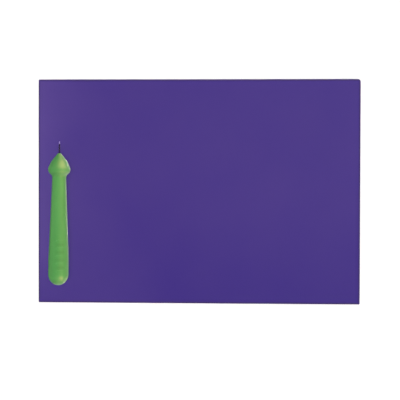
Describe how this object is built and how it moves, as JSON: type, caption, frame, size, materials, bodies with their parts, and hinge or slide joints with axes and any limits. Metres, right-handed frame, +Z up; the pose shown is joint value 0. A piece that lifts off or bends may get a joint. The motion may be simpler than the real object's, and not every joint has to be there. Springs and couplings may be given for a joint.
{
  "type": "pricking board",
  "caption": "Flat rectangular foam board for pricking paper, with a moulded round-handled awl lying along one short side and a steel needle in the awl's flared head.",
  "frame": {"origin": "middle of the board's underside, where it lies on a table", "axes": "+X along the board's long side, away from the awl; +Y along its short side, the way the awl's needle points; +Z up, square to the board"},
  "size_m": [0.3, 0.209, 0.0307],
  "materials": {
    "board_foam": "matte closed-cell foam, purple right through",
    "handle_plastic": "semi-gloss injection-moulded plastic, leaf green",
    "needle_steel": "bright drawn steel wire, ground to a point"
  },
  "bodies": {
    "board": {"foam_board": "board_foam"},
    "awl": {"awl_handle": "handle_plastic", "awl_needle": "needle_steel"}
  },
  "joints": [
    {"name": "awl_lift", "type": "slide", "parent": "board", "child": "awl", "axis": [0, 0, 1], "range_m": [0, 0.14]}
  ]
}
